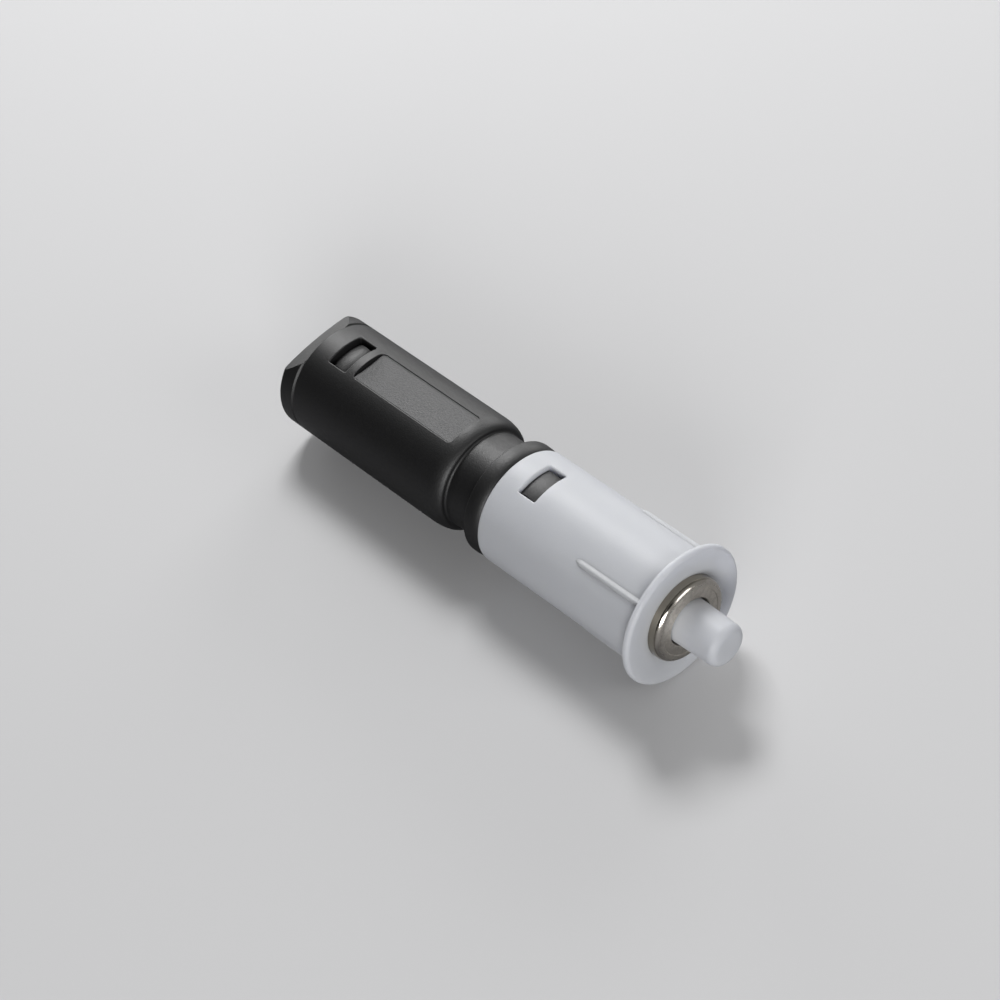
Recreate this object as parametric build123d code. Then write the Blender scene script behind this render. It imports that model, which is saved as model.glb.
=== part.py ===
"""Touch latch for a cabinet door: a 10 mm barrel that is pushed into a drilled hole, with a sprung plunger.

A light grey front housing with a flange holds a ring magnet and guides the plunger. Behind it a black rear housing
snaps into the sleeve and is closed by an end plug. The plunger's hidden half is a slider with a heart-shaped cam
track. A sprung wire, held in the end plug, runs in that track: one push frees the plunger and the next one catches
it again. The model is at the caught position.

Every piece is drawn along its axis and then turned into place. While it is drawn, x points to one side, y points
up, and z is the station: the distance in front of the flange's back face, so what is inside the hole has negative
stations. In the finished part the front is at -Y and +Z is up, and the origin is on the axis, at the flange's back.
All sizes are in millimetres.
"""

from build123d import *
import math
import os

# Clearances
SLIDE_CLEARANCE = 0.07
SNAP_CLEARANCE = 0.05
SEAT_CLEARANCE = 0.01
WIRE_CLEARANCE = 0.03

# Front housing
BARREL_RADIUS = 5.0
SLEEVE_LENGTH = 16.95
SLEEVE_WALL = 0.9
SLEEVE_END_ROUND = 0.25
FLANGE_OVERHANG = 1.05
FLANGE_THICKNESS = 0.55
FLANGE_EDGE_ROUND = 0.32
FLANGE_BACK_ROUND = 0.1
DISH_DEPTH = 0.2
GUIDE_LENGTH = 2.4
GUIDE_LEAD_IN = 0.3
RIB_COUNT = 4
RIB_FIRST_ANGLE = 41
RIB_LENGTH = 7.1
RIB_POINT_LENGTH = 0.6
RIB_START_RADIUS = 0.17
RIB_END_RADIUS = 0.24
RIB_AXIS_DEPTH = 0.04

# Ring magnet
MAGNET_RADIUS = 3.63
MAGNET_BORE_RADIUS = 2.08
MAGNET_LENGTH = 3.0
MAGNET_PROUD = 0.8
MAGNET_RIM_WIDTH = 0.7
MAGNET_RIM_ROUND = 0.55
MAGNET_FACE_DEPTH = 0.06
MAGNET_BORE_ROUND = 0.1

# Snap windows and teeth, one pair above and one below at each end
WINDOW_WIDTH = 3.42
WINDOW_CORNER_RADIUS = 0.15
FRONT_WINDOW_LENGTH = 1.85
FRONT_WINDOW_SETBACK = 2.03
REAR_WINDOW_LENGTH = 1.95
REAR_WINDOW_SETBACK = 1.95
WINDOW_EDGE_ROUND = 0.12
FRONT_TOOTH_HEIGHTS = (0.5, 0.54, 0.42)
REAR_TOOTH_HEIGHTS = (0.3, 0.45, 0.12)
TOOTH_CROWN = 0.75
TOOTH_SIDE_GAP = 0.22
TONGUE_SLIT = 0.4

# Rear housing
BORE_RADIUS = 3.45
COLLAR_THICKNESS = 1.6
COLLAR_ROUND_LENGTH = 1.2
COLLAR_ROUND_DEPTH = 0.42
COLLAR_REAR_ROUND = 0.25
NECK_DEPTH = 0.8
NECK_LENGTH = 2.85
NECK_FLARE_RADIUS = 0.5
NECK_ROOT_ROUND = 0.22
SHOULDER_ROUND_LENGTH = 1.6
SHOULDER_STEP = 0.25
TUBE_LENGTH = 17.54
TUBE_END_ROUND = 0.15
SPIGOT_LENGTH = 4.75
SPIGOT_LEAD_IN = 0.25
PLUG_BORE_DEPTH = 4.45
PLUG_BORE_WALL = 0.9
PANEL_WIDTH = 3.42
PANEL_LENGTH = 11.55
PANEL_SETBACK = 4.74
PANEL_DEPTH = 0.4
PANEL_CORNER_RADIUS = 0.42
PANEL_EDGE_ROUND = 0.06

# End plug
HEAD_LENGTH = 1.75
HEAD_REAR_ROUND = 0.35
HEAD_GROOVE = 0.2
HEAD_BEVEL_FRONT = 0.5
HEAD_BEVEL_REAR = 1.35
HEAD_BEVEL_TURN = 5
HEAD_CROWN_RADIUS = 25.0
PLUG_FLOOR_THICKNESS = 1.74
SKIRT_LENGTH = 4.35
SKIRT_WALL = 0.57
SKIRT_LEAD_IN = 0.2
GUIDE_PIN_RADIUS = 0.8
GUIDE_PIN_LENGTH = 15.0
GUIDE_PIN_CHAMFER = 0.25

# Plunger
TRAVEL_OUT = 10.0
TRAVEL_IN = 2.0
ROD_RADIUS = 1.95
ROD_REACH = 3.91
TIP_RADIUS = 1.82
TIP_ROUND = 0.65
SLIDER_EDGE = 0.3
SLIDER_FRONT_GAP = 0.15
SLIDER_END_GAP = 0.4
SPRING_BORE_RADIUS = 1.5
SPRING_SEAT_WALL = 3.2
KEY_WIDTH = 0.8
KEY_HEIGHT = 0.4
KEY_LENGTH = 1.2
KEY_END_GAP = 0.15

# Heart-shaped cam track, on a flat along the slider's side
FLAT_OFFSET = 2.6
TRACK_DEPTH = 0.6
TRACK_SPARE = 0.4
LANE_WIDTH = 0.75
ISLAND_WIDTH = 1.15
ISLAND_LENGTH = 5.3
NOTCH_HALF_ANGLE = 36
NOTCH_LIP = 0.12
TRACK_END_WALL = 1.1

# Latch wire
WIRE_RADIUS = 0.25
WIRE_OFFSET = 3.0
WIRE_BEND_RADIUS = 0.5
WIRE_HOOK_GAP = 0.15
WIRE_ANCHOR_DEPTH = 1.4

# Main spring
SPRING_RADIUS = 1.15
SPRING_WIRE_RADIUS = 0.17
SPRING_TURNS = 14

# Stations that several pieces share
FLANGE_FRONT = FLANGE_THICKNESS
MAGNET_FRONT = FLANGE_FRONT + MAGNET_PROUD
MAGNET_BACK = MAGNET_FRONT - MAGNET_LENGTH
GUIDE_BACK = MAGNET_BACK - GUIDE_LENGTH
SLEEVE_BACK = -SLEEVE_LENGTH
COLLAR_BACK = SLEEVE_BACK - COLLAR_THICKNESS
SHOULDER_FRONT = COLLAR_BACK - NECK_LENGTH
TUBE_BACK = SHOULDER_FRONT - TUBE_LENGTH
PLUG_BORE_FRONT = TUBE_BACK + PLUG_BORE_DEPTH
HEAD_BACK = TUBE_BACK - HEAD_LENGTH
PLUG_FLOOR_FRONT = TUBE_BACK + PLUG_FLOOR_THICKNESS
SLIDER_BACK = PLUG_FLOOR_FRONT + TRAVEL_IN + SLIDER_END_GAP
SLIDER_FRONT = GUIDE_BACK - TRAVEL_OUT - SLIDER_FRONT_GAP
SPRING_SEAT = SLIDER_FRONT - SPRING_SEAT_WALL
HOOK_STATION = SLIDER_BACK + TRACK_END_WALL + LANE_WIDTH / 2 + TRAVEL_OUT
KEY_BACK = TUBE_BACK + SKIRT_LENGTH + TRAVEL_IN + KEY_END_GAP
KEY_FRONT = KEY_BACK + KEY_LENGTH

# Radii that follow from a wall, a step or a clearance
FLANGE_RADIUS = BARREL_RADIUS + FLANGE_OVERHANG
NECK_RADIUS = BARREL_RADIUS - NECK_DEPTH
SLEEVE_BORE = BARREL_RADIUS - SLEEVE_WALL
SPIGOT_RADIUS = SLEEVE_BORE - SNAP_CLEARANCE
PLUG_BORE = BARREL_RADIUS - PLUG_BORE_WALL
SKIRT_RADIUS = PLUG_BORE - SNAP_CLEARANCE
SLIDER_RADIUS = BORE_RADIUS - SLIDE_CLEARANCE
GUIDE_RADIUS = ROD_RADIUS + SLIDE_CLEARANCE
MAGNET_SEAT_RADIUS = MAGNET_RADIUS + SEAT_CLEARANCE

# Each window starts its setback in from the end of the piece that it is cut in
FRONT_WINDOW_BACK = SLEEVE_BACK + FRONT_WINDOW_SETBACK
REAR_WINDOW_BACK = TUBE_BACK + REAR_WINDOW_SETBACK

INTO_PLACE = Rot(90, 0, 0)


def revolved(outline, rounds=()):
    """A solid turned about the axis from an outline of (radius, station) corners, some of them rounded."""
    return revolved_face(make_face(Polyline(*outline, close=True)), rounds)


def revolved_face(face, rounds=()):
    """A solid turned about the axis from a face drawn with x as the radius and y as the station."""
    for corner, radius in rounds:
        nearest = face.vertices().sort_by_distance(Vector(*corner))[0]
        face = fillet(nearest, radius)
    return revolve(Plane.XZ * face, axis=Axis.Z)


def cylinder(radius, back, front, x=0.0, y=0.0):
    """A round bar along the axis between two stations."""
    return Pos(x, y, back) * extrude(Circle(radius), front - back)


def block(x_range, y_range, z_range):
    """A box between three pairs of coordinates."""
    size = [high - low for low, high in (x_range, y_range, z_range)]
    middle = [(high + low) / 2 for low, high in (x_range, y_range, z_range)]
    return Pos(*middle) * Box(*size)


def window_cut(back, length):
    """Two openings with rounded corners, one above and one below, through a tube's wall."""
    outline = RectangleRounded(WINDOW_WIDTH, length, WINDOW_CORNER_RADIUS)
    middle = Plane(origin=(0, 0, back + length / 2), x_dir=(1, 0, 0), z_dir=(0, 1, 0))
    return extrude(middle * outline, 2 * BARREL_RADIUS, both=True)


def rim_edges(body, cut, floor):
    """The edges that run round the mouth of a cut, above or below its floor."""
    box = cut.bounding_box()
    found = []
    for edge in body.edges():
        middle = edge @ 0.5
        along = box.min.Z - SEAT_CLEARANCE < middle.Z < box.max.Z + SEAT_CLEARANCE
        across = abs(middle.X) < box.max.X + SEAT_CLEARANCE
        outside = box.min.Y < middle.Y and abs(middle.Y) > floor + SEAT_CLEARANCE
        runs_round = abs((edge % 0.5).Y) < 0.9
        if along and across and outside and runs_round:
            found.append(edge)
    return found


def snap_teeth(root_radius, heights, window_back, window_length):
    """Two teeth that sit in the windows. Their heights are those of the steep rear face, the crown and the front."""
    rear_height, crown_height, front_height = heights
    back = window_back + SNAP_CLEARANCE
    front = window_back + window_length - SNAP_CLEARANCE
    top = root_radius + crown_height
    inside = root_radius - crown_height / 2
    crown = ThreePointArc(
        (root_radius + rear_height, back),
        (top, back + TOOTH_CROWN),
        (root_radius + front_height, front),
    )
    ring = revolved_face(make_face([crown, Polyline(crown @ 1, (inside, front), (inside, back), crown @ 0)]))
    half_width = WINDOW_WIDTH / 2 - TOOTH_SIDE_GAP
    return ring & block((-half_width, half_width), (-top, top), (back, front))


def tongue_slits(back, front):
    """Slits on both sides of each tooth, so that the wall under it can bend inwards."""
    inner = WINDOW_WIDTH / 2
    outer = inner + TONGUE_SLIT
    slits = []
    for low, high in ((inner, outer), (-outer, -inner)):
        slits.append(block((low, high), (-BARREL_RADIUS, BARREL_RADIUS), (back, front)))
    return slits[0] + slits[1]


def crush_rib():
    """One round rib on top of the barrel: it starts in a point and gets thicker towards the flange."""
    rib = revolved(
        [
            (0, -RIB_LENGTH),
            (RIB_START_RADIUS, RIB_POINT_LENGTH - RIB_LENGTH),
            (RIB_END_RADIUS, 0),
            (0, 0),
        ]
    )
    return Pos(0, BARREL_RADIUS - RIB_AXIS_DEPTH, 0) * rib


def make_front_housing():
    """Sleeve, flange, magnet seat and plunger guide, with crush ribs and two snap windows."""
    seat_edge = MAGNET_SEAT_RADIUS + DISH_DEPTH
    body = revolved(
        [
            (GUIDE_RADIUS, GUIDE_BACK),
            (SLEEVE_BORE, GUIDE_BACK),
            (SLEEVE_BORE, SLEEVE_BACK),
            (BARREL_RADIUS, SLEEVE_BACK),
            (BARREL_RADIUS, 0),
            (FLANGE_RADIUS, 0),
            (FLANGE_RADIUS, FLANGE_FRONT),
            (seat_edge, FLANGE_FRONT - DISH_DEPTH),
            (MAGNET_SEAT_RADIUS, FLANGE_FRONT - DISH_DEPTH),
            (MAGNET_SEAT_RADIUS, MAGNET_BACK),
            (GUIDE_RADIUS, MAGNET_BACK),
        ],
        rounds=[
            ((FLANGE_RADIUS, FLANGE_FRONT), FLANGE_EDGE_ROUND),
            ((FLANGE_RADIUS, 0), FLANGE_BACK_ROUND),
            ((BARREL_RADIUS, SLEEVE_BACK), SLEEVE_END_ROUND),
        ],
    )
    lead_in = revolved(
        [
            (0, GUIDE_BACK),
            (GUIDE_RADIUS + GUIDE_LEAD_IN, GUIDE_BACK),
            (GUIDE_RADIUS, GUIDE_BACK + GUIDE_LEAD_IN),
            (0, GUIDE_BACK + GUIDE_LEAD_IN),
        ]
    )
    body -= lead_in
    for i in range(RIB_COUNT):
        body += Rot(0, 0, RIB_FIRST_ANGLE + i * 360 / RIB_COUNT) * crush_rib()
    windows = window_cut(FRONT_WINDOW_BACK, FRONT_WINDOW_LENGTH)
    body -= windows
    return fillet(rim_edges(body, windows, SLEEVE_BORE), WINDOW_EDGE_ROUND)


def make_ring_magnet():
    """A ring that stands proud of the flange: a rounded rim with a slightly lower face inside it."""
    face = MAGNET_FRONT - MAGNET_FACE_DEPTH
    rim_edge = MAGNET_RADIUS - MAGNET_RIM_WIDTH
    return revolved(
        [
            (MAGNET_BORE_RADIUS, MAGNET_BACK),
            (MAGNET_RADIUS, MAGNET_BACK),
            (MAGNET_RADIUS, MAGNET_FRONT),
            (rim_edge, MAGNET_FRONT),
            (rim_edge - MAGNET_FACE_DEPTH, face),
            (MAGNET_BORE_RADIUS, face),
        ],
        rounds=[
            ((MAGNET_RADIUS, MAGNET_BACK), MAGNET_BORE_ROUND),
            ((MAGNET_RADIUS, MAGNET_FRONT), MAGNET_RIM_ROUND),
            ((rim_edge, MAGNET_FRONT), MAGNET_FACE_DEPTH),
            ((MAGNET_BORE_RADIUS, face), MAGNET_BORE_ROUND),
        ],
    )


def make_rear_housing():
    """Tube, shoulder, neck, collar and spigot in one moulding, with the plug's windows and the bare panel."""
    spigot_front = SLEEVE_BACK + SPIGOT_LENGTH
    shoulder = EllipticalCenterArc(
        (NECK_RADIUS + SHOULDER_STEP, SHOULDER_FRONT - SHOULDER_ROUND_LENGTH),
        NECK_DEPTH - SHOULDER_STEP,
        SHOULDER_ROUND_LENGTH,
    )
    collar_round = EllipticalCenterArc(
        (BARREL_RADIUS - COLLAR_ROUND_DEPTH, SLEEVE_BACK - COLLAR_ROUND_LENGTH),
        COLLAR_ROUND_DEPTH,
        COLLAR_ROUND_LENGTH,
    )
    outline = [
        shoulder,
        Polyline(
            shoulder @ 1,
            (NECK_RADIUS, SHOULDER_FRONT),
            (NECK_RADIUS, COLLAR_BACK),
            (BARREL_RADIUS, COLLAR_BACK),
            collar_round @ 0,
        ),
        collar_round,
        Polyline(
            collar_round @ 1,
            (SPIGOT_RADIUS, SLEEVE_BACK),
            (SPIGOT_RADIUS, spigot_front - SPIGOT_LEAD_IN),
            (SPIGOT_RADIUS - SPIGOT_LEAD_IN, spigot_front),
            (BORE_RADIUS, spigot_front),
            (BORE_RADIUS, PLUG_BORE_FRONT),
            (PLUG_BORE, PLUG_BORE_FRONT),
            (PLUG_BORE, TUBE_BACK),
            (BARREL_RADIUS, TUBE_BACK),
            shoulder @ 0,
        ),
    ]
    body = revolved_face(
        make_face(outline),
        rounds=[
            ((BARREL_RADIUS, TUBE_BACK), TUBE_END_ROUND),
            ((BARREL_RADIUS, COLLAR_BACK), COLLAR_REAR_ROUND),
            ((NECK_RADIUS, COLLAR_BACK), NECK_FLARE_RADIUS),
            ((NECK_RADIUS, SHOULDER_FRONT), NECK_ROOT_ROUND),
        ],
    )
    body += snap_teeth(SPIGOT_RADIUS, FRONT_TOOTH_HEIGHTS, FRONT_WINDOW_BACK, FRONT_WINDOW_LENGTH)
    body -= tongue_slits(SLEEVE_BACK + TONGUE_SLIT, spigot_front)
    windows = window_cut(REAR_WINDOW_BACK, REAR_WINDOW_LENGTH)
    body -= windows
    body = fillet(rim_edges(body, windows, PLUG_BORE), WINDOW_EDGE_ROUND)
    panel = panel_cut()
    body -= panel
    body = fillet(rim_edges(body, panel, BARREL_RADIUS - PANEL_DEPTH), PANEL_EDGE_ROUND)
    body -= keyway()
    return body


def panel_cut():
    """The flat recess along the top of the tube, with rounded corners."""
    middle = TUBE_BACK + PANEL_SETBACK + PANEL_LENGTH / 2
    floor = Plane(origin=(0, BARREL_RADIUS - PANEL_DEPTH, middle), x_dir=(1, 0, 0), z_dir=(0, 1, 0))
    return extrude(floor * RectangleRounded(PANEL_WIDTH, PANEL_LENGTH, PANEL_CORNER_RADIUS), 2 * PANEL_DEPTH)


def keyway():
    """The groove in the bore for the slider's key. Its front end stops the plunger at full travel."""
    half_width = KEY_WIDTH / 2 + SLIDE_CLEARANCE
    depth = SLIDER_RADIUS + KEY_HEIGHT + SLIDE_CLEARANCE
    front = KEY_FRONT + TRAVEL_OUT + SEAT_CLEARANCE
    return block((-depth, -BORE_RADIUS / 2), (-half_width, half_width), (PLUG_BORE_FRONT - SKIRT_LENGTH / 2, front))


def make_end_plug():
    """Head, skirt with snap teeth, and the pin inside the spring. The latch wire is held in its floor."""
    skirt_front = TUBE_BACK + SKIRT_LENGTH
    pin_front = PLUG_FLOOR_FRONT + GUIDE_PIN_LENGTH
    skirt_bore = SKIRT_RADIUS - SKIRT_WALL
    body = revolved(
        [
            (0, HEAD_BACK),
            (BARREL_RADIUS, HEAD_BACK),
            (BARREL_RADIUS, TUBE_BACK - HEAD_GROOVE),
            (BARREL_RADIUS - HEAD_GROOVE, TUBE_BACK),
            (SKIRT_RADIUS, TUBE_BACK),
            (SKIRT_RADIUS, skirt_front - SKIRT_LEAD_IN),
            (SKIRT_RADIUS - SKIRT_LEAD_IN, skirt_front),
            (skirt_bore, skirt_front),
            (skirt_bore, PLUG_FLOOR_FRONT),
            (GUIDE_PIN_RADIUS, PLUG_FLOOR_FRONT),
            (GUIDE_PIN_RADIUS, pin_front - GUIDE_PIN_CHAMFER),
            (GUIDE_PIN_RADIUS - GUIDE_PIN_CHAMFER, pin_front),
            (0, pin_front),
        ],
        rounds=[((BARREL_RADIUS, HEAD_BACK), HEAD_REAR_ROUND)],
    )
    body += snap_teeth(SKIRT_RADIUS, REAR_TOOTH_HEIGHTS, REAR_WINDOW_BACK, REAR_WINDOW_LENGTH)
    body -= tongue_slits(PLUG_FLOOR_FRONT, skirt_front)
    for turn in (HEAD_BEVEL_TURN, HEAD_BEVEL_TURN + 180):
        body -= Rot(0, 0, turn) * head_bevel()
    body -= cylinder(WIRE_RADIUS, PLUG_FLOOR_FRONT - WIRE_ANCHOR_DEPTH, PLUG_FLOOR_FRONT, x=WIRE_OFFSET)
    return body


def head_bevel():
    """What the head loses above its crowned bevel, which falls to the rear: all that a wide tilted bar leaves."""
    slope = math.degrees(math.atan2(HEAD_BEVEL_REAR - HEAD_BEVEL_FRONT, HEAD_LENGTH))
    high = block((-BARREL_RADIUS, BARREL_RADIUS), (0, 2 * BARREL_RADIUS), (HEAD_BACK, TUBE_BACK))
    crown = Pos(0, -HEAD_CROWN_RADIUS, 0) * Cylinder(HEAD_CROWN_RADIUS, 4 * BARREL_RADIUS)
    return high - Pos(0, BARREL_RADIUS - HEAD_BEVEL_FRONT, TUBE_BACK) * Rot(-slope, 0, 0) * crown


def make_plunger():
    """Pin and slider in one moulding: the tapered tip, the rod, and the slider with its bore, key and cam track."""
    tip = MAGNET_FRONT + ROD_REACH
    rod_taper_start = MAGNET_BACK + TRAVEL_IN + SNAP_CLEARANCE
    body = revolved(
        [
            (0, SLIDER_BACK),
            (SLIDER_RADIUS - SLIDER_EDGE, SLIDER_BACK),
            (SLIDER_RADIUS, SLIDER_BACK + SLIDER_EDGE),
            (SLIDER_RADIUS, SLIDER_FRONT - SLIDER_EDGE),
            (SLIDER_RADIUS - SLIDER_EDGE, SLIDER_FRONT),
            (ROD_RADIUS, SLIDER_FRONT),
            (ROD_RADIUS, rod_taper_start),
            (TIP_RADIUS, tip),
            (0, tip),
        ],
        rounds=[((TIP_RADIUS, tip), TIP_ROUND)],
    )
    body -= cylinder(SPRING_BORE_RADIUS, SLIDER_BACK, SPRING_SEAT)
    body -= block((FLAT_OFFSET, 2 * BORE_RADIUS), (-BORE_RADIUS, BORE_RADIUS), (SLIDER_BACK, SLIDER_FRONT))
    key_outside = SLIDER_RADIUS + KEY_HEIGHT
    body += block((-key_outside, -FLAT_OFFSET), (-KEY_WIDTH / 2, KEY_WIDTH / 2), (KEY_BACK, KEY_FRONT))
    body -= cam_track()
    return body


def cam_track():
    """The heart-shaped groove. In its outline, u runs forwards from the wire's hook and v runs across the flat.

    At rest the hook sits in the island's front notch. A push takes it into the front chamber, past the island's
    lobe, and down one lane to the straight at the rear. The next push brings it back up the other lane.
    """
    lane_edge = LANE_WIDTH / 2
    chamber_edge = ISLAND_WIDTH / 2 + LANE_WIDTH
    half_angle = math.radians(NOTCH_HALF_ANGLE)
    notch = -(WIRE_RADIUS + WIRE_CLEARANCE) / math.sin(half_angle)
    tail = notch - ISLAND_LENGTH
    front = TRAVEL_IN + LANE_WIDTH / 2
    rear = -TRAVEL_OUT - LANE_WIDTH / 2
    slope = chamber_edge - lane_edge
    grove = make_face(
        Polyline(
            (rear, -lane_edge),
            (tail - TRACK_SPARE, -lane_edge),
            (tail - TRACK_SPARE + slope, -chamber_edge),
            (front, -chamber_edge),
            (front - TRACK_SPARE, 0),
            (front, chamber_edge),
            (tail - TRACK_SPARE + slope, chamber_edge),
            (tail - TRACK_SPARE, lane_edge),
            (rear, lane_edge),
            close=True,
        )
    )
    island_edge = ISLAND_WIDTH / 2
    lip_edge = island_edge - NOTCH_LIP
    lip = notch + lip_edge / math.tan(half_angle)
    island = make_face(
        Polyline(
            (tail, 0),
            (tail + slope, -island_edge),
            (lip - NOTCH_LIP, -island_edge),
            (lip, -lip_edge),
            (notch, 0),
            (lip, lip_edge),
            (lip - NOTCH_LIP, island_edge),
            (tail + slope, island_edge),
            close=True,
        )
    )
    flat = Plane(origin=(FLAT_OFFSET, 0, HOOK_STATION), x_dir=(0, 0, 1), z_dir=(1, 0, 0))
    return extrude(flat * (grove - island), -TRACK_DEPTH)


def make_latch_wire():
    """Spring wire: straight from the end plug along the slider's flat, with its end bent into the cam track."""
    anchor = PLUG_FLOOR_FRONT - WIRE_ANCHOR_DEPTH
    hook = FLAT_OFFSET - TRACK_DEPTH + WIRE_HOOK_GAP
    path = FilletPolyline(
        (WIRE_OFFSET, 0, anchor),
        (WIRE_OFFSET, 0, HOOK_STATION),
        (hook, 0, HOOK_STATION),
        radius=WIRE_BEND_RADIUS,
    )
    return sweep(Plane(origin=path @ 0, z_dir=path % 0) * Circle(WIRE_RADIUS), path=path)


def make_main_spring():
    """Compression spring from the plug's floor to the end of the slider's bore."""
    height = SPRING_SEAT - PLUG_FLOOR_FRONT - 2 * (SPRING_WIRE_RADIUS + SEAT_CLEARANCE)
    start = PLUG_FLOOR_FRONT + SPRING_WIRE_RADIUS + SEAT_CLEARANCE
    path = Helix(height / SPRING_TURNS, height, SPRING_RADIUS, center=(0, 0, start))
    return sweep(Plane(origin=path @ 0, z_dir=path % 0) * Circle(SPRING_WIRE_RADIUS), path=path, is_frenet=True)


PIECES = {
    "front_housing": make_front_housing,
    "ring_magnet": make_ring_magnet,
    "plunger": make_plunger,
    "rear_housing": make_rear_housing,
    "end_plug": make_end_plug,
    "latch_wire": make_latch_wire,
    "main_spring": make_main_spring,
}

os.makedirs("parts", exist_ok=True)
for name, make in PIECES.items():
    export_step(INTO_PLACE * make(), f"parts/{name}.step")
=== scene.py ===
"""Looks of the touch latch: a grey flanged barrel with a magnet ring and a plunger, and a black rear tube.

Lengths are in millimetres and become metres where a mesh, a lamp or the camera is made. The latch's axis is
Y: the front is at -Y, the rear tube is at +Y, +Z is up through the windows, and y = 0 is the flange's back
face.
"""

import math

import bpy
import numpy as np
from mathutils import Matrix, Vector


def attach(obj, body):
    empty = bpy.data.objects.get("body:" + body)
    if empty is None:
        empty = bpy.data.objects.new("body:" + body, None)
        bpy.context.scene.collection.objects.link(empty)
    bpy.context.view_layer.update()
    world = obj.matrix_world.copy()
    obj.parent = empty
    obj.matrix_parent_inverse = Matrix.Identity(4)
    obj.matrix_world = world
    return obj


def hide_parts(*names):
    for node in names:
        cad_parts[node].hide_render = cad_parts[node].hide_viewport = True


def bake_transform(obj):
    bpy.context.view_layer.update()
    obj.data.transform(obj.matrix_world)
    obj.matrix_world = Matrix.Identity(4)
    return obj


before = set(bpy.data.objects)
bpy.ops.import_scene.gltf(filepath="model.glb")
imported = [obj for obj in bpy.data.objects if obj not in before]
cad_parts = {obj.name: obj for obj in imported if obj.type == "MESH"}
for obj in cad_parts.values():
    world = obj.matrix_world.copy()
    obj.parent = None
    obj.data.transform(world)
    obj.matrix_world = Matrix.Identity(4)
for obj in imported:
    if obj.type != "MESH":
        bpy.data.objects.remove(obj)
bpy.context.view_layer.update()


# Sizes in millimetres, and angles in degrees

MM = 0.001

BARREL_RADIUS = 5.0
NECK_RADIUS = 4.2
FLANGE_RADIUS = 6.05
TUBE_FOOT = 38.8

PANEL_MIDDLE = 28.43
PANEL_HALF_LENGTH = 5.66
PANEL_HALF_WIDTH = 1.6
PANEL_FLOOR = 4.6
PANEL_FADE = 0.06
PANEL_FLOOR_FADE = (0.1, 0.05)

RING_FLAT_RADIUS = 3.0
RING_EDGE_RADIUS = 3.6
# Radii between which the ring's side takes its painted shade
RING_PAINTED_SHADE_RADII = (3.52, 3.61)

PLUG_SEAT = 37.2
PLUNGER_SEAT = 17.4
SPRING_END_GAP = 0.02
SPRING_RADIUS = 1.15
SPRING_WIRE_RADIUS = 0.17
SPRING_TURNS = 14

RIB_COUNT = 4
RIB_FIRST_ANGLE = 41
RIB_LENGTH = 7.15
RIB_POINT_LENGTH = 0.6
RIB_HALF_WIDTH = 0.33
RIB_START_HEIGHT = 0.2
RIB_RISE = 0.07
RIB_ROOT_DEPTH = 0.12
RIB_IN_FLANGE = 0.1

FLOOR_HALF_WIDTH = 250.0
LATCH_MIDDLE = 18.0
LAMP_DISTANCE = 300.0

CAMERA_PLACE = (-95.32, -112.28, 174.33)
CAMERA_AZIMUTH = -35.811
CAMERA_ELEVATION = 47.16
CAMERA_ROLL = -10.707
CAMERA_LENS = 108.95
CAMERA_SENSOR = 36


# Materials


class Signal:
    """A node's output. Arithmetic on it adds Math nodes, so a pattern reads as a formula."""

    def __init__(self, nodes, socket):
        self.nodes = nodes
        self.socket = socket

    def math(self, operation, *values):
        return self.nodes.node("ShaderNodeMath", {"operation": operation}, dict(enumerate(values)))

    def __add__(self, other):
        return self.math("ADD", self, other)

    def __radd__(self, other):
        return self.math("ADD", other, self)

    def __sub__(self, other):
        return self.math("SUBTRACT", self, other)

    def __rsub__(self, other):
        return self.math("SUBTRACT", other, self)

    def __mul__(self, other):
        return self.math("MULTIPLY", self, other)

    def __rmul__(self, other):
        return self.math("MULTIPLY", other, self)

    def __pow__(self, other):
        return self.math("POWER", self, other)

    def __abs__(self):
        return self.math("ABSOLUTE", self)


class NodeTree:
    """The nodes of a material or of the world."""

    def __init__(self, tree):
        self.tree = tree

    def node(self, kind, settings=None, inputs=None, output=0):
        """Any node: its settings go first, then the values or links of its sockets."""
        made = self.tree.nodes.new(kind)
        for key, value in (settings or {}).items():
            setattr(made, key, value)
        for key, value in (inputs or {}).items():
            if isinstance(value, Signal):
                self.tree.links.new(value.socket, made.inputs[key])
            else:
                made.inputs[key].default_value = value
        return Signal(self, made.outputs[output])

    def step(self, value, start, end):
        """0 up to start and 1 from end on, with a smooth change between. Start may be the larger."""
        return self.node(
            "ShaderNodeMapRange",
            {"interpolation_type": "SMOOTHSTEP"},
            {"Value": value, "From Min": start, "From Max": end},
        )

    def mix(self, share, first, second):
        """A colour between two colours."""
        return self.node(
            "ShaderNodeMix", {"data_type": "RGBA"}, {"Factor": share, 6: first, 7: second}, output=2
        )


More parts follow.
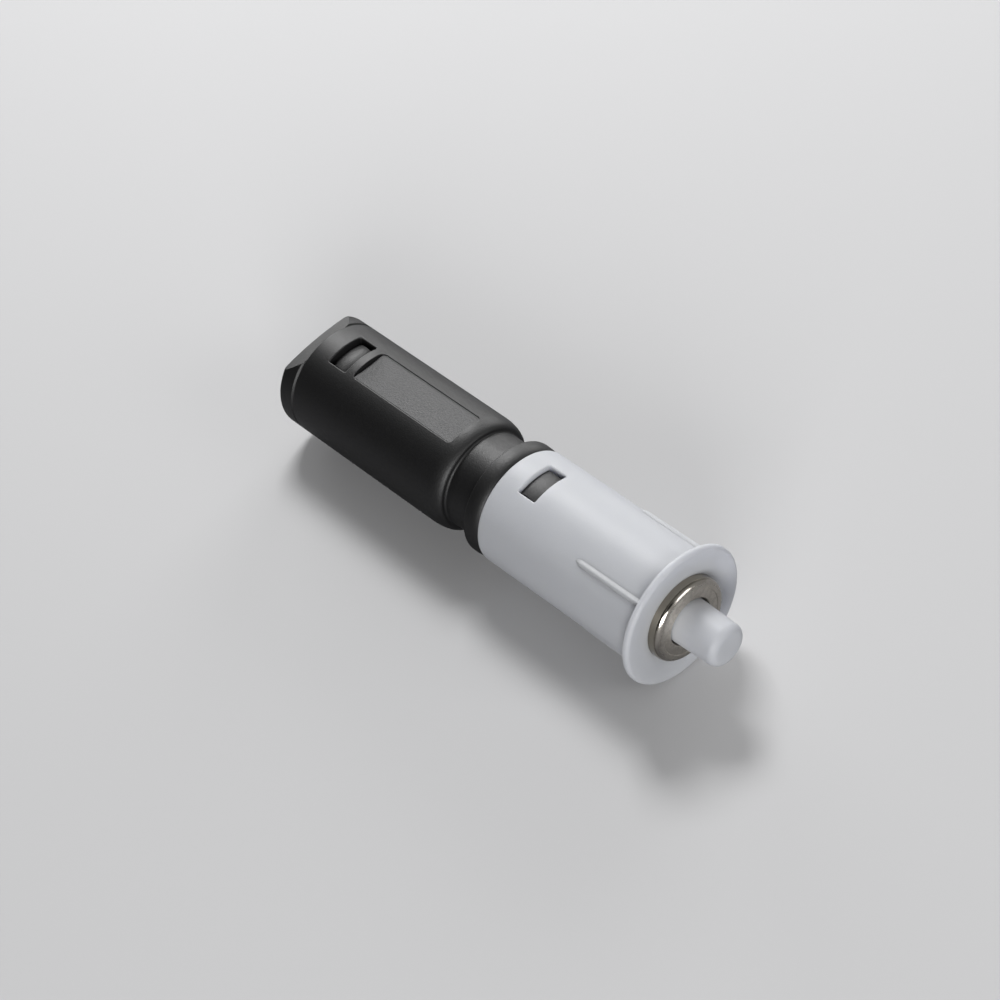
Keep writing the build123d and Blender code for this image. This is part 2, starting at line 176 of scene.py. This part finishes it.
class Finish(NodeTree):
    """A material built around one Principled shader. What is even all over is set on the shader's sockets."""

    def __init__(self, name, **even):
        self.material = bpy.data.materials.new(name)
        self.material.use_nodes = True
        super().__init__(self.material.node_tree)
        self.shader = self.tree.nodes["Principled BSDF"]
        for socket, value in even.items():
            self.shader.inputs[socket.replace("_", " ")].default_value = value
        self.place = self.node("ShaderNodeTexCoord", output="Object")

    def noise(self, per_mm, detail, roughness, stretch=(1, 1, 1)):
        """Noise with so many blobs to a millimetre, drawn out along an axis where its stretch is below 1."""
        scaled = self.node(
            "ShaderNodeMapping",
            {"vector_type": "POINT"},
            {"Vector": self.place, "Scale": Vector(stretch) / MM},
        )
        return self.node(
            "ShaderNodeTexNoise",
            {"noise_dimensions": "3D"},
            {"Vector": scaled, "Scale": per_mm, "Detail": detail, "Roughness": roughness},
            output="Fac",
        )

    def axes(self):
        """x, y and z of the surface point, in millimetres."""
        place = self.node("ShaderNodeVectorMath", {"operation": "SCALE"}, {0: self.place, "Scale": 1 / MM})
        return [self.node("ShaderNodeSeparateXYZ", None, {0: place}, output=axis) for axis in "XYZ"]

    def feed(self, socket, signal):
        """Links a signal to a socket of the shader."""
        self.tree.links.new(signal.socket, self.shader.inputs[socket])

    def bump(self, height, depth):
        """Turns a height, as a share of depth in millimetres, into the surface's relief."""
        self.feed("Normal", self.node("ShaderNodeBump", None, {"Height": height, "Distance": depth * MM}))


def colour(red, green, blue):
    """A colour written as it shows on screen, from 0 to 255, as the linear values that a shader takes."""
    return tuple(((v / 255 + 0.055) / 1.055) ** 2.4 for v in (red, green, blue)) + (1.0,)


def grey_plastic():
    """Light grey moulded plastic: satin, a little translucent, with cloudy flow marks and a fine grain."""
    finish = Finish("grey_plastic", Subsurface_Weight=0.4, Subsurface_Scale=1.5 * MM, IOR=1.5)
    finish.shader.inputs["Subsurface Radius"].default_value = (1.0, 1.0, 1.1)
    clouds = finish.noise(0.35, 3, 0.55, (1, 0.4, 1))
    grain = finish.noise(9, 3, 0.6)
    finish.feed("Base Color", finish.mix(clouds, colour(186, 188, 193), colour(193, 195, 199)))
    finish.feed("Roughness", 0.42 + 0.16 * grain)
    finish.bump(grain, 0.007)
    return finish.material


def black_plastic():
    """Black moulded plastic with a fine spark-eroded grain, coarser and lighter on the panel's floor."""
    finish = Finish("black_plastic", Specular_IOR_Level=0.72)
    clouds = finish.noise(0.5, 3, 0.5)
    grain = finish.noise(9, 3, 0.65)
    coarse = finish.noise(5, 3, 0.6)
    x, y, z = finish.axes()
    panel = (
        finish.step(abs(x), PANEL_HALF_WIDTH + PANEL_FADE, PANEL_HALF_WIDTH)
        * finish.step(abs(y - PANEL_MIDDLE), PANEL_HALF_LENGTH + PANEL_FADE, PANEL_HALF_LENGTH)
        * finish.step(abs(z - PANEL_FLOOR), *PANEL_FLOOR_FADE)
    )
    skin = finish.mix(clouds, colour(4, 4, 5), colour(8, 8, 9))
    finish.feed("Base Color", finish.mix(panel * coarse, skin, colour(48, 48, 50)))
    finish.feed("Roughness", 0.4 + 0.2 * grain + 0.04 * panel)
    finish.bump(grain + 2.2 * coarse * panel, 0.018)
    return finish.material


def nickel():
    """Nickel plating: polished on the rounded edge, faintly mottled on the flat, with painted shade on the
    side.
    """
    finish = Finish("nickel", Metallic=1.0)
    mottle = finish.noise(2.2, 5, 0.7)
    stains = finish.step(mottle, 0.42, 0.6)
    x, _, z = finish.axes()
    radius = (x * x + z * z) ** 0.5
    flat = finish.step(radius, RING_EDGE_RADIUS, RING_FLAT_RADIUS)
    # Painted shade: the ring's outer side is darker than the plating, standing in for the shade beside the
    # flange
    side = finish.step(radius, *RING_PAINTED_SHADE_RADII)
    plating = finish.mix(stains * flat, colour(222, 216, 206), colour(206, 200, 190))
    finish.feed("Base Color", finish.mix(side, plating, colour(150, 144, 132)))
    finish.feed("Roughness", 0.1 + 0.08 * mottle + flat * (0.2 + 0.16 * stains))
    finish.bump(mottle * flat, 0.012)
    return finish.material


def spring_steel():
    """Drawn spring steel: fine lines along the wire over a bright base."""
    finish = Finish("spring_steel", Metallic=1.0)
    lines = finish.noise(12, 3, 0.6, (1, 0.15, 1))
    finish.feed("Base Color", finish.mix(lines, colour(140, 140, 142), colour(178, 178, 180)))
    finish.feed("Roughness", 0.22 + 0.16 * lines)
    finish.bump(lines, 0.003)
    return finish.material


def floor_paint():
    """Matt paint that looks paler than it is for the light that it throws back."""
    finish = Finish("floor_paint", Roughness=0.85, Specular_IOR_Level=0.2)
    seen_directly = finish.node("ShaderNodeLightPath", output="Is Camera Ray")
    finish.feed("Base Color", finish.mix(seen_directly, colour(124, 124, 126), colour(200, 200, 201)))
    return finish.material


# Pieces


def show(name, data):
    """Puts a mesh, a lamp or a camera into the scene."""
    thing = bpy.data.objects.new(name, data)
    bpy.context.scene.collection.objects.link(thing)
    return thing


def shaded(name, points, faces, material, sharp_turn):
    """A piece whose surface is smooth, but for the edges that turn by more than that many degrees."""
    mesh = bpy.data.meshes.new(name)
    mesh.from_pydata(points.tolist(), [], faces)
    mesh.shade_smooth()
    mesh.set_sharp_from_angle(angle=math.radians(sharp_turn))
    mesh.materials.append(material)
    return show(name, mesh)


def read(items, attribute, kind=np.float32):
    """A three-part attribute of every item, as the rows of an array."""
    values = np.empty(len(items) * 3, kind)
    items.foreach_get(attribute, values)
    return values.reshape(-1, 3)


def paint(node, material):
    """Gives a CAD node its material."""
    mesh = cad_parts[node].data
    mesh.materials.clear()
    mesh.materials.append(material)


def corner_normals(piece, corners):
    """The normals at a piece's corners, which are the points of its triangles, one after the other.

    A normal is the mean of the faces that meet at the corner, weighted by their areas. A corner that lies on
    the cylinder of the barrel or the neck, in a face that looks outwards, has the radius itself.
    """
    off_cylinder = 0.003
    outward_cosine = 0.97
    weighted = piece.modifiers.new("weighted", "WEIGHTED_NORMAL")
    weighted.keep_sharp = True
    seen = piece.evaluated_get(bpy.context.evaluated_depsgraph_get()).data
    normals = read(seen.corner_normals, "vector")
    piece.modifiers.remove(weighted)

    of_face = np.repeat(read(piece.data.polygons, "normal"), 3, axis=0)
    outwards = corners * (1, 0, 1)
    radius = np.linalg.norm(outwards, axis=1, keepdims=True)
    outwards = outwards / np.maximum(radius, 1e-9)
    turned = np.isclose(radius / MM, (BARREL_RADIUS, NECK_RADIUS), rtol=0, atol=off_cylinder).any(axis=1)
    turned &= (outwards * of_face).sum(axis=1) > outward_cosine
    return np.where(turned[:, None], outwards, normals)


def merged(node, material, body):
    """A CAD node's surface with its doubled points made one, so that light runs evenly across its seams."""
    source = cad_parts[node]
    triangles = read(source.data.loop_triangles, "vertices", np.int32)
    points, place = np.unique(read(source.data.vertices, "co"), axis=0, return_inverse=True)
    triangles = place.ravel()[triangles]
    world = np.array(source.matrix_world)
    points = points @ world[:3, :3].T + world[:3, 3]

    piece = shaded(node + "_surface", points, triangles.tolist(), material, sharp_turn=32)
    normals = corner_normals(piece, points[triangles.ravel()])
    piece.data.normals_split_custom_set(normals.tolist())
    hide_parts(node)
    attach(piece, body)


def carried(name, paths, side, up, section, material):
    """Closed bars: a section carried along one or more paths, all in millimetres, with flat ends.

    A point of the surface is a point of the path, plus the section's first coordinate times the side vector,
    plus its second coordinate times the up vector. The paths are (bars, rows, 3), the vectors fit them, and
    the section is (rows or 1, corners, 2), anticlockwise as seen against the path, with side times up along
    the path.
    """
    bars, rows, _ = paths.shape
    corners = section.shape[-2]
    skin = (
        paths[:, :, None]
        + section[None, :, :, 0, None] * side[:, :, None]
        + section[None, :, :, 1, None] * up[:, :, None]
    )
    bar, row, corner = np.meshgrid(np.arange(bars), np.arange(rows - 1), np.arange(corners), indexing="ij")
    here = (bar * rows + row) * corners
    after = (corner + 1) % corners
    sides = np.stack([here + corner, here + after, here + corners + after, here + corners + corner], axis=-1)
    first_ring = np.arange(bars)[:, None] * rows * corners + np.arange(corners)
    last_ring = first_ring + (rows - 1) * corners
    faces = sides.reshape(-1, 4).tolist() + first_ring[:, ::-1].tolist() + last_ring.tolist()
    return shaded(name, skin.reshape(-1, 3) * MM, faces, material, sharp_turn=50)


def around(corners):
    """Points of the unit circle, evenly round it, as rows of a cosine and a sine."""
    angle = np.linspace(0, 2 * np.pi, corners, endpoint=False)
    return np.stack([np.cos(angle), np.sin(angle)], axis=-1)


def coil_spring(name, back, front, coil_radius, wire_radius, turns, material):
    """A compression spring along the axis with a closed turn at each end, from y = back down to y = front.

    The wire's centre runs round the axis at the coil's radius. Its y falls by about the wire's thickness over
    the first and the last turn and evenly in between, with a smooth change between the two slopes.
    """
    rows_in_a_turn = 40
    closed_turns = 0.75
    change = 0.5
    turn = np.linspace(0, turns, turns * rows_in_a_turn + 1)
    closed_pitch = 2.05 * wire_radius
    length = back - front - 2 * wire_radius
    open_pitch = (length - 2 * closed_pitch) / (turns - 2)
    into = np.clip(turn - closed_turns, 0, change) / change
    out_of = np.clip(turns - turn - closed_turns, 0, change) / change
    opened = into * into * (3 - 2 * into) * out_of * out_of * (3 - 2 * out_of)
    pitch = closed_pitch + (open_pitch - closed_pitch) * opened
    fall = np.concatenate([[0], np.cumsum((pitch[1:] + pitch[:-1]) / 2 * np.diff(turn))])
    angle = 2 * np.pi * turn
    side = np.stack([np.cos(angle), np.zeros_like(angle), np.sin(angle)], axis=1)
    path = coil_radius * side
    path[:, 1] = back - wire_radius - fall * length / fall[-1]
    direction = np.gradient(path, axis=0)
    direction /= np.linalg.norm(direction, axis=1, keepdims=True)
    up = np.cross(direction, side)
    section = wire_radius * around(corners=16)[None]
    return carried(name, path[None], side[None], up[None], section, material)


def crush_ribs(name, material):
    """Ribs along the barrel, evenly round it, from inside the flange at y = 0 to their points at the rear.

    A rib's section is one wave of a cosine above the barrel's surface, and a shallow half ellipse sunk into
    it. Both grow from a blunt point as a quarter wave of a sine, and the cosine wave then rises evenly to the
    flange.
    """
    point_rows = 15
    shaft_rows = 12
    bluntness = 0.02
    point = np.linspace(0, 1, point_rows) ** 2 * RIB_POINT_LENGTH
    shaft = np.linspace(point[-1], RIB_LENGTH + RIB_IN_FLANGE, shaft_rows)[1:]
    from_point = np.concatenate([point, shaft])
    grown = np.sin(np.clip(from_point / RIB_POINT_LENGTH, bluntness, 1) * np.pi / 2)
    half_width = RIB_HALF_WIDTH * grown
    height = (RIB_START_HEIGHT + RIB_RISE * from_point / RIB_LENGTH) * grown
    cosine, sine = around(corners=28).T
    wave = 0.5 + 0.5 * np.cos(np.pi * cosine)
    rise = np.where(sine > -1e-9, height[:, None] * wave, RIB_ROOT_DEPTH * grown[:, None] * sine)
    section = np.stack([half_width[:, None] * cosine, rise], axis=-1)
    turn = np.radians(RIB_FIRST_ANGLE + np.arange(RIB_COUNT) * 360 / RIB_COUNT)
    still = np.zeros_like(turn)
    outwards = np.stack([-np.sin(turn), still, np.cos(turn)], axis=-1)[:, None]
    across = np.stack([-np.cos(turn), still, -np.sin(turn)], axis=-1)[:, None]
    y = RIB_LENGTH - from_point
    paths = BARREL_RADIUS * outwards + y[None, :, None] * np.array([0.0, 1.0, 0.0])
    return carried(name, paths, across, outwards, section, material)


grey = grey_plastic()
black = black_plastic()
steel = spring_steel()

merged("front_housing", grey, "housing")
merged("plunger", grey, "plunger")
merged("rear_housing", black, "housing")
merged("end_plug", black, "housing")
merged("ring_magnet", nickel(), "housing")
paint("latch_wire", steel)

spring = coil_spring(
    "coiled_spring",
    PLUG_SEAT - SPRING_END_GAP,
    PLUNGER_SEAT + SPRING_END_GAP,
    SPRING_RADIUS,
    SPRING_WIRE_RADIUS,
    SPRING_TURNS,
    steel,
)
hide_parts("main_spring")
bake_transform(spring)

ribs = crush_ribs("crush_ribs", grey)
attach(ribs, "housing")


# Stage, light and camera


def backdrop():
    """A plain pale floor that touches the flange's rim and the tube's rear edge."""
    rise = (FLANGE_RADIUS - BARREL_RADIUS) / TUBE_FOOT
    across = Vector((1, 0, 0))
    along = Vector((0, 1, rise)).normalized()
    centre = -FLANGE_RADIUS * MM * across.cross(along)
    half = FLOOR_HALF_WIDTH * MM
    corners = [centre + half * (a * across + b * along) for a, b in ((-1, -1), (1, -1), (1, 1), (-1, 1))]
    mesh = bpy.data.meshes.new("floor")
    mesh.from_pydata([tuple(c) for c in corners], [], [(0, 1, 2, 3)])
    mesh.materials.append(floor_paint())
    show("floor", mesh)


def soft_light(name, direction, width, height, watts):
    """A rectangular lamp, its sides in millimetres, that looks at the latch's middle from a direction."""
    lamp = bpy.data.lights.new(name, "AREA")
    lamp.shape = "RECTANGLE"
    lamp.size = width * MM
    lamp.size_y = height * MM
    lamp.energy = watts
    back = Vector(direction).normalized()
    holder = show(name, lamp)
    holder.location = Vector((0, LATCH_MIDDLE * MM, 0)) + LAMP_DISTANCE * MM * back
    holder.rotation_euler = back.to_track_quat("Z", "Y").to_euler()


def camera():
    """The photograph's camera: its place, its turn about the axis of view and its lens."""
    angles = (CAMERA_AZIMUTH, CAMERA_ELEVATION, CAMERA_ROLL)
    azimuth, elevation, roll = (math.radians(angle) for angle in angles)
    level = math.cos(elevation)
    back = Vector((math.sin(azimuth) * level, -math.cos(azimuth) * level, math.sin(elevation)))
    right = (-back).cross(Vector((0, 0, 1))).normalized()
    up = right.cross(-back)
    turned_right = math.cos(roll) * right + math.sin(roll) * up
    turned_up = -math.sin(roll) * right + math.cos(roll) * up
    view = bpy.data.cameras.new("camera")
    view.sensor_width = CAMERA_SENSOR
    view.lens = CAMERA_LENS
    view.clip_start = 10 * MM
    holder = show("camera", view)
    turn = Matrix((turned_right, turned_up, back)).transposed().to_4x4()
    holder.matrix_world = Matrix.Translation(Vector(CAMERA_PLACE) * MM) @ turn
    bpy.context.scene.camera = holder


def surroundings(level, seen_level, dark_patches):
    """A dim room with soft dark patches, which looks even and paler where it is seen directly.

    Each patch is a direction, and the cosines of the angles to it at the patch's edge and at its core.
    """
    world = bpy.data.worlds.new("surroundings")
    world.use_nodes = True
    room = NodeTree(world.node_tree)
    direction = room.node("ShaderNodeTexCoord", output="Generated")
    strength = level
    for towards, edge, core in dark_patches:
        cosine = room.node(
            "ShaderNodeVectorMath",
            {"operation": "DOT_PRODUCT"},
            {0: direction, 1: Vector(towards).normalized()},
            output="Value",
        )
        strength = strength * (1 - room.step(cosine, edge, core))
    seen_directly = room.node("ShaderNodeLightPath", output="Is Camera Ray")
    strength = strength + (seen_level - strength) * seen_directly
    background = world.node_tree.nodes["Background"]
    background.inputs["Color"].default_value = (1, 1, 1, 1)
    room.tree.links.new(strength.socket, background.inputs["Strength"])
    bpy.context.scene.world = world


backdrop()
soft_light("key", (0.39, 0.49, 0.78), 100, 80, watts=0.66)
soft_light("front_left", (-0.65, -0.62, 0.28), 160, 120, watts=0.6)
soft_light("front", (0.3, -0.85, 0.45), 160, 120, watts=0.15)
soft_light("right", (0.9, 0.35, 0.3), 160, 120, watts=0.26)
soft_light("rear", (0.4, 0.87, 0.18), 160, 100, watts=0.22)
surroundings(
    level=0.2,
    seen_level=0.6,
    dark_patches=(
        ((-0.72, 0.55, 0.4), 0.6, 0.88),
        ((-0.4, -0.55, 0.73), 0.94, 0.985),
    ),
)
camera()

bpy.context.scene.view_settings.view_transform = "Standard"
